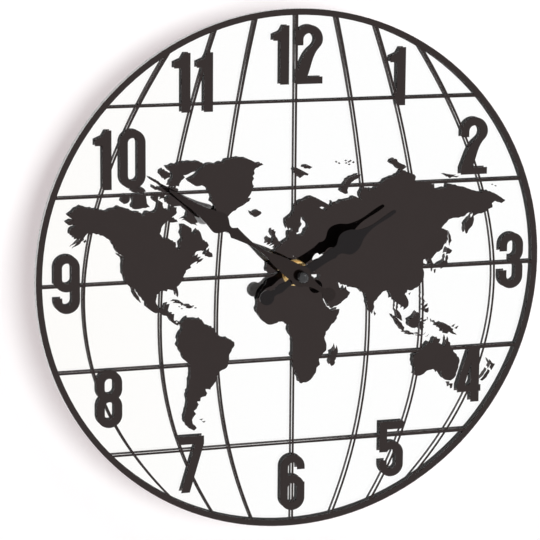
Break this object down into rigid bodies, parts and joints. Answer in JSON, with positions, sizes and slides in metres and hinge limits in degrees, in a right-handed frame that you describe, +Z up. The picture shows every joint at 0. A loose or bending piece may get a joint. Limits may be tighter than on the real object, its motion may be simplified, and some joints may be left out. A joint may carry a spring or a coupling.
{
  "type": "wall clock",
  "caption": "Frameless round mirror-glass wall clock with a printed world map, graticule and hour numerals, spade hands and a battery quartz movement behind.",
  "frame": {"origin": "on the axis of the hands, in the plane of the wall that the movement's rear cover rests against", "axes": "+X to the viewer's right, +Y into the wall, +Z up to 12 o'clock"},
  "size_m": [0.3, 0.0416, 0.3],
  "materials": {
    "clear_glass": "clear float glass, polished",
    "silvering": "silvered",
    "backing_paint": "grey protective paint on the silvering, matt",
    "black_ink": "black print, high gloss",
    "hour_hand_black": "black paint, satin",
    "minute_hand_black": "brownish black paint, satin",
    "cap_black": "black, gloss",
    "brass": "machined",
    "zinced_steel": "zinc plated",
    "black_rubber": "matt",
    "case_plastic": "black, fine matt",
    "knob_plastic": "white, matt",
    "battery_jacket": "plain green jacket",
    "nickelled_steel": "nickel plated",
    "board_green": "solder mask",
    "chip_black": "resin blob",
    "crystal_can": "plated can",
    "bobbin_plastic": "natural",
    "copper_wire": "enamelled copper wire",
    "motor_steel": "soft magnetic steel",
    "ferrite": "ferrite, matt",
    "wheel_plastic": "natural white"
  },
  "bodies": {
    "clock": {"glass_disc": "clear_glass", "silver_layer": "silvering", "backing_paint": "backing_paint", "washer": "brass", "nut": "brass", "bushing": "brass", "hanger_plate": "zinced_steel", "gasket": "black_rubber", "case_front": "case_plastic", "case_rear": "case_plastic", "battery": "battery_jacket", "contact_positive": "nickelled_steel", "contact_negative": "nickelled_steel", "circuit_board": "board_green", "chip": "chip_black", "crystal": "crystal_can", "coil_bobbin": "bobbin_plastic", "coil_winding": "copper_wire", "coil_core": "motor_steel", "stator": "motor_steel", "rim_band": "black_ink", "meridians": "black_ink", "parallels": "black_ink", "numeral_1": "black_ink", "numeral_2": "black_ink", "numeral_3": "black_ink", "numeral_4": "black_ink", "numeral_5": "black_ink", "numeral_6": "black_ink", "numeral_7": "black_ink", "numeral_8": "black_ink", "numeral_9": "black_ink", "numeral_10": "black_ink", "numeral_11": "black_ink", "numeral_12": "black_ink", "map_north_america": "black_ink", "map_greenland": "black_ink", "map_south_america": "black_ink", "map_africa": "black_ink", "map_eurasia": "black_ink", "map_oceania": "black_ink"},
    "minute": {"minute_arbor": "brass", "minute_hand": "minute_hand_black", "cap_nut": "cap_black"},
    "intermediate": {"intermediate_wheel": "wheel_plastic", "setting_knob": "knob_plastic"},
    "hour": {"hour_wheel": "wheel_plastic", "hour_hand": "hour_hand_black"},
    "rotor": {"rotor": "wheel_plastic", "rotor_magnet": "ferrite"},
    "fifth": {"fifth_wheel": "wheel_plastic"},
    "fourth": {"fourth_wheel": "wheel_plastic"},
    "third": {"third_wheel": "wheel_plastic"},
    "centre": {"centre_wheel": "wheel_plastic"}
  },
  "joints": [
    {"name": "minute_turn", "type": "hinge", "parent": "clock", "child": "minute", "pos_m": [0, 0, 0], "axis": [0, 1, 0], "continuous": true},
    {"name": "intermediate_turn", "type": "hinge", "parent": "clock", "child": "intermediate", "pos_m": [0.013, 0, 0.00229], "axis": [0, 1, 0], "continuous": true},
    {"name": "hour_turn", "type": "hinge", "parent": "clock", "child": "hour", "pos_m": [0, 0, 0], "axis": [0, 1, 0], "continuous": true},
    {"name": "rotor_turn", "type": "hinge", "parent": "clock", "child": "rotor", "pos_m": [0.01337, 0, 0.01782], "axis": [0, 1, 0], "continuous": true},
    {"name": "fifth_turn", "type": "hinge", "parent": "clock", "child": "fifth", "pos_m": [0.00612, 0, 0.01588], "axis": [0, 1, 0], "continuous": true},
    {"name": "fourth_turn", "type": "hinge", "parent": "clock", "child": "fourth", "pos_m": [-0.00353, 0, 0.01417], "axis": [0, 1, 0], "continuous": true},
    {"name": "third_turn", "type": "hinge", "parent": "clock", "child": "third", "pos_m": [-0.01122, 0, 0.00648], "axis": [0, 1, 0], "continuous": true},
    {"name": "centre_turn", "type": "hinge", "parent": "clock", "child": "centre", "pos_m": [0, 0, 0], "axis": [0, 1, 0], "continuous": true}
  ],
  "couplings": [
    {"joint": "intermediate_turn", "follows": "minute_turn", "ratio": -0.33333},
    {"joint": "hour_turn", "follows": "minute_turn", "ratio": 0.083333},
    {"joint": "fifth_turn", "follows": "rotor_turn", "ratio": -0.2},
    {"joint": "fourth_turn", "follows": "rotor_turn", "ratio": 0.033333},
    {"joint": "third_turn", "follows": "rotor_turn", "ratio": -0.0044444},
    {"joint": "centre_turn", "follows": "rotor_turn", "ratio": 0.00055556}
  ]
}
